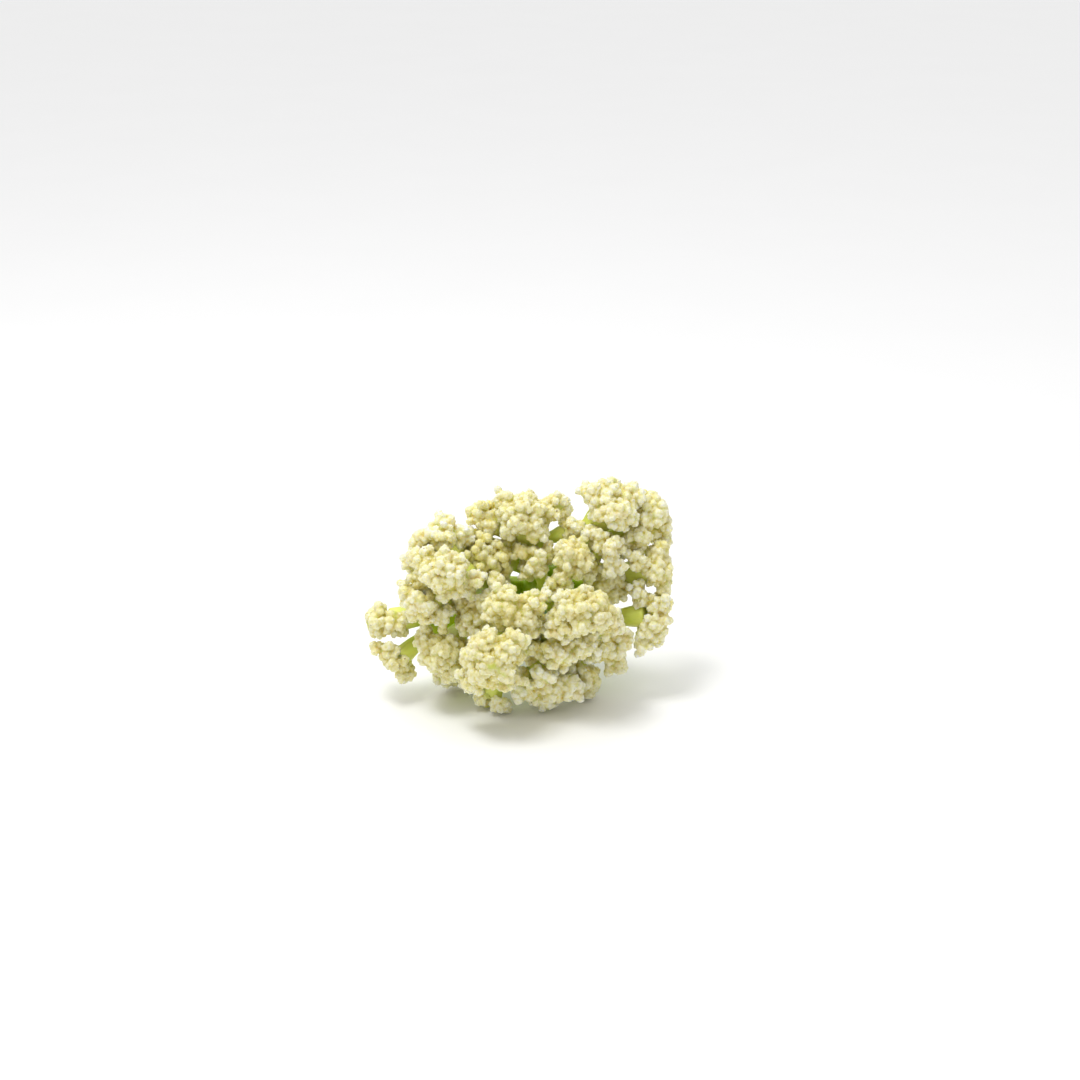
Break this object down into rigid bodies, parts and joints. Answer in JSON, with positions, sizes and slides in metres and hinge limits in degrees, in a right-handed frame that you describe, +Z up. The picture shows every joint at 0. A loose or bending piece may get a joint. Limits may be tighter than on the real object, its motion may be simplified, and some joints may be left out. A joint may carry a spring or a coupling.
{
  "type": "cauliflower floret",
  "caption": "Loose-curd cauliflower floret lying down: an open dome of cream curd heads on green branches that fan out from a short cut stem.",
  "frame": {"origin": "on the table, under the middle of the floret's bounding box", "axes": "+X to the right for someone facing the crown of curd, +Y back along the stem to its cut end, +Z up"},
  "size_m": [0.0976, 0.1082, 0.0711],
  "materials": {
    "stem": "smooth waxy green plant stem with a soft gloss",
    "branch": "smooth light yellow-green plant stalk with a soft gloss",
    "curd": "matte moist cream curd"
  },
  "bodies": {
    "root": {"branch_crest": "branch", "branch_front": "branch", "branch_left": "branch", "branch_low": "branch", "branch_low_right": "branch", "branch_right": "branch", "branch_right_crest": "branch", "branch_side": "branch", "curd_crest_left": "curd", "curd_crest_middle": "curd", "curd_crest_twig": "curd", "curd_crest_under": "curd", "curd_front_left": "curd", "curd_front_low": "curd", "curd_front_middle": "curd", "curd_front_right": "curd", "curd_heart": "curd", "curd_left_front": "curd", "curd_left_inner": "curd", "curd_left_low": "curd", "curd_left_top": "curd", "curd_low_front": "curd", "curd_low_left": "curd", "curd_low_middle": "curd", "curd_low_right": "curd", "curd_lower_left": "curd", "curd_lower_right_inner": "curd", "curd_lower_right_outer": "curd", "curd_right_crest_back": "curd", "curd_right_crest_front": "curd", "curd_right_crest_under": "curd", "curd_right_heart": "curd", "curd_right_inner": "curd", "curd_right_low": "curd", "curd_right_outer": "curd", "curd_side_low": "curd", "curd_side_twig": "curd", "main_stem": "stem", "stalk_crest_left": "branch", "stalk_crest_twig": "branch", "stalk_crest_under": "branch", "stalk_front_left": "branch", "stalk_front_low": "branch", "stalk_front_middle": "branch", "stalk_heart": "branch", "stalk_left_inner": "branch", "stalk_left_low": "branch", "stalk_left_top": "branch", "stalk_low_left": "branch", "stalk_low_middle": "branch", "stalk_low_right": "branch", "stalk_lower_left": "branch", "stalk_lower_right_inner": "branch", "stalk_right_crest_back": "branch", "stalk_right_crest_under": "branch", "stalk_right_heart": "branch", "stalk_right_inner": "branch", "stalk_right_low": "branch", "stalk_side_low": "branch"}
  },
  "joints": []
}
